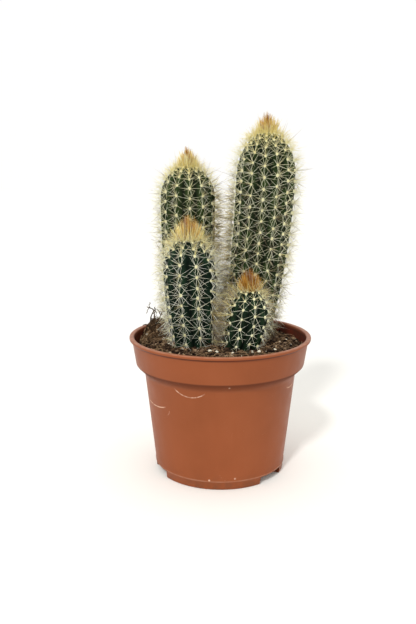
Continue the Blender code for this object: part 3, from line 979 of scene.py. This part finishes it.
def wandering(rng, starts, headings, lengths, points, curl, lift):
    """Curly paths that wander over the ground from their starts. Their heights are left for the ground to give."""
    share = np.linspace(0.0, 1.0, points)
    bend = rng.normal(0.0, curl, (len(starts), 3, 1))
    phase = rng.uniform(0.0, math.tau, (len(starts), 3, 1))
    waves = np.array([1.0, 2.1, 3.7])[None, :, None]
    heading = headings[:, None] + (bend * np.sin(math.tau * waves * share + phase)).sum(axis=1)
    step = lengths[:, None] / (points - 1)
    x = starts[:, :1] + np.cumsum(np.cos(heading) * step, axis=1)
    y = starts[:, 1:] + np.cumsum(np.sin(heading) * step, axis=1)
    return x, y, lift[:, None] * np.sin(math.pi * share) ** 0.8


def lay_threads(name, x, y, z, thick, thin, tint):
    """One piece of four sided threads, each with its own thickness and tint, which thin to a share of themselves."""
    points = x.shape[1]
    verts, faces = tubes(np.stack([x, y, z], axis=-1), thick[:, None] * np.linspace(1.0, thin, points)[None, :], 4)
    attributes = {"tint": np.repeat(tint, points * 4)}
    place(new_object(name, verts, faces, thread_material(), attributes), "dry_rootlet")


def build_fibres(ground, columns):
    """Thin tan and brown fibres of peat that lie over the crumbs, and a few long straws."""
    rng = np.random.default_rng(FIBRE_SEED)
    count = FIBRE_COUNT
    starts = open_places(rng, count, ground, columns, 0.001)
    straw = rng.random(count) < STRAW_SHARE
    lengths = np.where(straw, rng.uniform(0.008, 0.018, count), rng.uniform(0.0026, 0.0095, count))
    lift = np.where(straw, rng.uniform(0.0006, 0.0032, count), rng.uniform(0.0002, 0.0017, count))
    x, y, rise = wandering(rng, starts, rng.uniform(0, math.tau, count), lengths, FIBRE_POINTS, 0.75, lift)
    x, y = ground.within(x, y, 0.0014)
    thick = np.where(straw, 0.00028, 0.0001 + 0.0003 * rng.random(count) ** 1.6)
    tint = np.where(straw, 0.72, rng.uniform(0.0, 1.0, count) ** 1.5)
    lay_threads("peat_fibres", x, y, ground.height(x, y) + 0.0007 + rise, thick, 0.45, tint)


def build_grains():
    """Each perlite grain: a rough foamed pebble in the box of its CAD grain."""
    material = perlite_material()
    verts, faces = ball(4)
    names = sorted(name for name in frame["nodes"] if name.startswith("perlite_"))
    for index, name in enumerate(names):
        low, high = (np.array(corner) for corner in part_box(name))
        seed = Vector((index * 5.3, index * 2.9, 0.5))
        shape = []
        for vert in verts:
            spot = Vector(vert)
            broad = noise.noise(spot * 1.3 + seed)
            knobs = noise.noise(spot * 3.4 + seed)
            pits = noise.cell(spot * 5.0 + seed)
            shape.append(vert * (1.0 + 0.38 * broad + 0.2 * knobs - 0.06 * pits))
        shape = np.array(shape)
        span = np.abs(shape).max(axis=0)
        fitted = shape / span * (high - low) / 2 + (low + high) / 2
        grain = new_object("grain_" + name[-2:], fitted, faces.tolist(), material)
        place(grain, "perlite", name)


def thread_path(points, rng):
    """A smooth wiry path from the lowest end of a CAD thread to the end farthest from it."""
    start = points[np.argmin(points[:, 2])]
    stop = points[np.argmax(np.linalg.norm(points - start, axis=1))]
    order = np.argsort(np.linalg.norm(points - start, axis=1))
    groups = np.array_split(points[order], 8)
    guide = np.array([start, *[group.mean(axis=0) for group in groups[1:-1]], stop])
    line = smooth_through(guide, 8)
    share = np.linspace(0, len(line) - 1, THREAD_POINTS).astype(int)
    return line[share] + rng.normal(0.0, 0.00007, (THREAD_POINTS, 3))


def build_threads(ground):
    """The dried rootlets out of the pile: one piece for each CAD rootlet, with fine twigs. Gives their feet."""
    rng = np.random.default_rng(THREAD_SEED)
    material = thread_material()
    feet = []
    for name in sorted(name for name in frame["nodes"] if name.startswith("rootlet_")):
        path = thread_path(node_points(name), rng)
        path[0, 2] = ground.height(path[:1, 0], path[:1, 1])[0] - 0.0006
        feet.append(path[0])
        radii = np.linspace(0.00056, 0.00024, len(path)) * rng.uniform(0.8, 1.2, len(path))
        parts = [tubes(path[None], radii[None], 6)]
        for _ in range(TWIGS_PER_THREAD):
            fork = path[int(rng.integers(6, 20))]
            steps = rng.normal(0, 0.00022, (len(path), 3)) + unit(rng.normal(size=3)) * 0.00016
            twig = fork + np.cumsum(steps, axis=0)
            twig[:, 2] += np.linspace(0.0, 0.0006, len(path))
            parts.append(tubes(twig[None], np.linspace(0.00026, 0.00012, len(path))[None], 6))
        verts, faces = joined(parts)
        tint = {"tint": np.full(len(verts), rng.uniform(0.05, 0.3))}
        place(new_object("thread_" + name[-1:], verts, faces, material, tint), "dry_rootlet", name)
    return np.array(feet)


def build_tangle(ground, feet):
    """Fine curly moss and root threads matted on the pile at the feet of the rootlets."""
    rng = np.random.default_rng(MOSS_SEED)
    count, points = MOSS_COUNT, MOSS_POINTS
    turn = rng.uniform(0, math.tau, count)
    away = MOSS_REACH * np.sqrt(rng.random(count))
    starts = feet.mean(axis=0)[None, :2] + polar(away, turn)
    lengths = rng.uniform(0.006, 0.015, count)
    lift = rng.uniform(0.0003, 0.0042, count)
    x, y, rise = wandering(rng, starts, rng.uniform(0, math.tau, count), lengths, points, 1.5, lift)
    x, y = ground.within(x, y, 0.0016)
    waves = 0.0007 * np.sin(np.linspace(0, 11, points)[None, :] + turn[:, None])
    z = ground.height(x, y) + 0.001 + rise + waves
    lay_threads("moss_tangle", x, y, z, 0.00015 + 0.00038 * rng.random(count) ** 2, 0.5, rng.uniform(0.0, 1.0, count))


# ---- stems ----


def build_body(name, column, look):
    """The ribbed skin, closed at the crown and under the soil."""
    columns = column.ribs * RIB_SAMPLES
    rows = max(12, round(column.length / COLUMN_STEP))
    run = np.linspace(column.length, 0.0, rows)[1:]
    turn = np.arange(columns) * math.tau / columns
    points, furrow = column.at(*np.meshgrid(run, turn, indexing="ij"))
    rise = held((points[..., 2] - points[..., 2].min()) / np.ptp(points[..., 2]))
    verts = np.concatenate([points.reshape(-1, 3), [column.apex, column.foot]])
    attributes = {"furrow": np.append(furrow, [0.0, 0.0]), "rise": np.append(rise, [1.0, 0.0])}
    material = skin_material(name + "_skin", look["tone"])
    place(new_object(name + "_skin", verts, turned_faces(len(run), columns), material, attributes), "cactus_skin", name)


def build_areoles(name, column, rng, material):
    """A squashed, bumpy pad of wool at each areole."""
    here, outward, up, side, run = column.areole_frames()
    count = len(here)
    top = column.near_top(run)
    size = rng.uniform(0.82, 1.08, count) * (1.0 - 0.25 * top)
    turns = np.stack([side, up, outward], axis=-1)
    template = ball(2)
    verts, faces = blobs(rng, template, here + 0.0001 * outward, turns, size[:, None] * np.array(AREOLE_SIZE), 0.16)
    tint = np.repeat(held(0.35 * top + rng.uniform(0.0, 0.5, count)), len(template[0]))
    place(new_object(name + "_areoles", verts, faces, material, {"tint": tint}), "spines")


def straight(bases, heading, length):
    """The points of straight spines, of shape (spines, points, 3)."""
    return bases[:, None, :] + heading[:, None, :] * (length[:, None] * SPINE_SHARES)[:, :, None]


def fan(rng, bases, outward, up, side, angle, lean, length, thick, tint):
    """Bowed spines that point by an angle about each base's own frame and a lean out of its plane.

    Gives (lines, radii, tints, distances along), as spine_mesh takes them.
    """
    flat = np.cos(angle)[:, None] * side + np.sin(angle)[:, None] * up
    heading = unit(np.cos(lean)[:, None] * flat + np.sin(lean)[:, None] * outward)
    bow = unit(rng.normal(size=heading.shape)) * (0.07 * length)[:, None]
    line = straight(bases, heading, length) + bow[:, None, :] * (SPINE_SHARES**2)[None, :, None]
    radii = thick[:, None] * SPINE_TAPER
    return line, radii, np.broadcast_to(tint[:, None], radii.shape), np.tile(SPINE_SHARES, (len(bases), 1))


def aged(rng, tint, chance):
    """Turns a share of the spines the dull brown of old ones."""
    return np.where(rng.random(len(tint)) < chance, rng.uniform(0.0, OLD_TINT, len(tint)), tint)


def spine_mesh(name, groups, material):
    """One mesh of all the spines in groups of (lines, radii, tints, distances along)."""
    paths, radii, tint, along = (np.concatenate(layer) for layer in zip(*groups))
    verts, faces = tubes(paths, radii, 3)
    return new_object(name, verts, faces, material, {"tint": np.repeat(tint, 3), "along": np.repeat(along, 3)})


def crowding(here, outward, others):
    """How closely each areole faces another stem, from 0 to 1."""
    faced = np.zeros(len(here))
    height = here[:, 2]
    for other in others:
        x, y, radius = other.level(height)
        away = np.column_stack([x, y]) - here[:, :2]
        clear = np.linalg.norm(away, axis=1) - radius
        facing = (unit(away) * outward[:, :2]).sum(axis=1)
        near = held(2.1 - clear / THICKET_GAP) * (height < other.z[-1])
        faced = np.maximum(faced, near * held(2.6 * facing - 0.2))
    return faced


def build_spines(name, column, look, rng, material, others):
    """Radial spines in a star round each areole, a few that stand out of it, and a thicket between close stems."""
    here, outward, up, side, run = column.areole_frames()
    count = len(here)
    height = held(run / column.length)
    crown = column.near_top(run)
    above = here[:, 2] - here[:, 2].min()
    base = held(1.0 - above / STUNTED_HEIGHT)
    stunted = (1.0 - 0.5 * base) * (1.0 - 0.22 * crown)
    brown = look["old"] * held(1.5 - 1.7 * height) * (1.0 + 2.0 * base)
    groups = []

    def grow(spots, pull, angle, lean, length, thick, tint):
        frames = here[spots], pull, up[spots], side[spots]
        groups.append(fan(rng, *frames, angle, np.radians(lean), length, thick, tint))

    star = rng.uniform(0.0, math.tau, count)
    pull = unit(outward + up * (0.1 + 0.6 * crown)[:, None])
    for index in range(look["spines"]):
        angle = star + (index + rng.uniform(-0.3, 0.3, count)) * math.tau / look["spines"]
        below = 0.5 - 0.5 * np.sin(angle)
        length = look["low"] + (look["high"] - look["low"]) * height
        length = length * rng.uniform(0.62, 1.15, count) * (1.0 + 0.12 * below * (1.0 - crown)) * stunted
        lean = rng.uniform(14.0, 56.0, count) + 6.0 * crown
        tint = held(0.11 + 0.12 * look["tone"] + 0.12 * rng.random(count) + 0.34 * crown**1.2)
        tint = aged(rng, tint, brown)
        grow(slice(None), pull, angle, lean, length, rng.uniform(0.00011, 0.00015, count), tint)
    for _ in range(look["spines"] - STANDING_SPINES_FEWER):
        spots = np.flatnonzero(rng.random(count) < STANDING_SHARE)
        angle = rng.uniform(0.0, math.tau, len(spots))
        lean = rng.uniform(52.0, 88.0, len(spots))
        stray = rng.random(len(spots)) < 0.03 + 0.09 * crown[spots]
        length = look["high"] * rng.uniform(0.66, 1.15, len(spots)) * np.where(stray, 1.65, 1.0) * stunted[spots]
        tint = held(0.31 + 0.14 * rng.random(len(spots)) + 0.18 * crown[spots])
        tint = np.where(stray, OLD_TINT, aged(rng, tint, 0.75 * brown[spots]))
        thick = rng.uniform(0.00006, 0.0001, len(spots)) + np.where(stray, 0.00003, 0.0)
        pull = unit(outward[spots] + up[spots] * (0.15 + 0.6 * crown[spots])[:, None])
        grow(spots, pull, angle, lean, length, thick, tint)
    faced = crowding(here, outward, others)
    # Low down, where the thicket is shaded, more of its spines turn brown: painted shade on top of the brown of age.
    shaded = held(1.0 - above / SHADED_HEIGHT)
    for _ in range(THICKET_SPINES):
        spots = np.flatnonzero(rng.random(count) < 0.9 * faced)
        angle = rng.uniform(0.0, math.tau, len(spots))
        lean = rng.uniform(30.0, 85.0, len(spots))
        length = rng.uniform(0.006, 0.0112, len(spots))
        tint = aged(rng, rng.uniform(0.32, 0.66, len(spots)), 0.45 + 0.5 * shaded[spots])
        grow(spots, outward[spots], angle, lean, length, rng.uniform(0.0001, 0.00014, len(spots)), tint)
    place(spine_mesh(name + "_spines", groups, material), "spines")


def build_tuft(name, column, look, rng, material):
    """The crown: a flame of upright amber spines, orange brown in the middle and straw at its skirt."""
    apex = column.apex
    axis = unit(column.tuft_tip - apex)
    tall = np.linalg.norm(column.tuft_tip - apex)
    side = unit(np.cross(axis, [0.0, 1.0, 0.0]))
    back = np.cross(side, axis)
    count = TUFT_SPINES
    share = rng.random(count) ** 0.95
    turn = rng.uniform(0.0, math.tau, count)
    reach = look["tuft"] * share
    radial = np.cos(turn)[:, None] * side + np.sin(turn)[:, None] * back
    bases = apex + radial * reach[:, None]
    bases[:, 2] += np.interp(column.length - reach, column.run, column.z) - apex[2] - 0.0008
    splay = np.tan(np.radians(34.0 * share**1.6 - 1.0 + rng.normal(0.0, 6.0, count)))
    heading = unit(axis + radial * splay[:, None] + 0.05 * rng.normal(size=(count, 3)))
    length = tall * (1.34 - 0.58 * share) * rng.uniform(0.5, 1.0, count)
    lift = (0.1 * length)[:, None, None] * (SPINE_SHARES**2)[None, :, None] * axis[None, None, :]
    line = straight(bases, heading, length) + lift * share[:, None, None]
    radii = rng.uniform(0.00013, 0.0002, count)[:, None] * TUFT_TAPER
    tint = 0.94 - 0.44 * share + look["bronze"] + rng.normal(0.0, 0.12, count)
    tint = np.clip(tint[:, None] - 0.12 * SPINE_SHARES[None, :] ** 1.5, 0.26, 1.0)
    grey = rng.random(count) < GREY_SHARE
    tint[grey] = GREY_TINT
    line[grey] = bases[grey, None, :] + 1.12 * (line[grey] - bases[grey, None, :])
    along = np.tile(SPINE_SHARES * 0.35, (count, 1))
    place(spine_mesh(name + "_tuft", [(line, radii, tint, along)], material), "spines")


def build_stem(name, columns, felt, spines, seed):
    rng = np.random.default_rng(seed)
    look, column = STEMS[name], columns[name]
    others = [columns[other] for other in columns if other != name]
    place_areoles(column, look, rng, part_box("pot")[1][2] - SOIL_DROP)
    build_body(name, column, look)
    build_areoles(name, column, rng, felt)
    build_spines(name, column, look, rng, spines, others)
    build_tuft(name, column, look, rng, spines)


# ---- stage ----


def build_stage():
    """A pale floor, painted lighter near the pot, an even warm white surround, and one soft lamp in front, high and a
    little to the left.
    """
    nodes = Nodes("pale_floor")
    # Painted light: the floor is lighter near the pot, a painted pool of light against the shade around its foot.
    far = nodes.between(nodes.vector_math("LENGTH", "Value", nodes.coordinates()), 0.1, 0.34)
    nodes.colour = nodes.mix(far, (0.955, 0.94, 0.89), (0.825, 0.816, 0.786))
    nodes.paint(nodes.patches(6.0, 2.0, 0.3, 0.7, 0.0, 0.1), (0.84, 0.83, 0.8))
    material = nodes.finish(0.9, Specular_IOR_Level=0.1)
    corners = [(across * STAGE_REACH, back * STAGE_REACH, 0) for across, back in ((-1, -1), (1, -1), (1, 1), (-1, 1))]
    floor = new_object("floor", corners, [[0, 1, 2, 3]], material, smooth=False)

    world = bpy.data.worlds.new("studio")
    bpy.context.scene.world = world
    world.use_nodes = True
    sky = world.node_tree.nodes["Background"]
    sky.inputs["Color"].default_value = SKY_COLOUR
    sky.inputs["Strength"].default_value = SKY_STRENGTH

    lamp = bpy.data.lights.new("key", "SUN")
    lamp.energy = LAMP_POWER
    lamp.angle = LAMP_SPREAD
    key = bpy.data.objects.new("key", lamp)
    towards = Vector((math.cos(LAMP_BEARING), math.sin(LAMP_BEARING), math.tan(LAMP_ELEVATION)))
    key.rotation_euler = (-towards).to_track_quat("-Z", "Y").to_euler()
    bpy.context.scene.collection.objects.link(key)


def build_camera():
    lens = bpy.data.cameras.new("camera")
    lens.lens = CAMERA_LENS
    lens.sensor_width = CAMERA_SENSOR
    lens.clip_start = CAMERA_NEAREST
    camera = bpy.data.objects.new("camera", lens)
    camera.location = CAMERA_PLACE
    camera.rotation_euler = (math.pi / 2 - CAMERA_PITCH, 0.0, CAMERA_YAW)
    bpy.context.scene.collection.objects.link(camera)
    bpy.context.scene.camera = camera


def build():
    bpy.context.scene.view_settings.view_transform = "Standard"
    build_camera()
    build_stage()
    inner = build_pot()
    ground = Ground(inner)
    build_soil(ground, inner)
    felt = felt_material()
    spines = spine_material()
    stems = {name: Column(name, look) for name, look in STEMS.items()}
    for seed, name in enumerate(STEMS, FIRST_STEM_SEED):
        build_stem(name, stems, felt, spines, seed)
    columns = list(stems.values())
    build_crumbs(ground, columns)
    build_perlite_bits(ground, columns)
    build_fibres(ground, columns)
    build_grains()
    feet = build_threads(ground)
    build_tangle(ground, feet)


build()
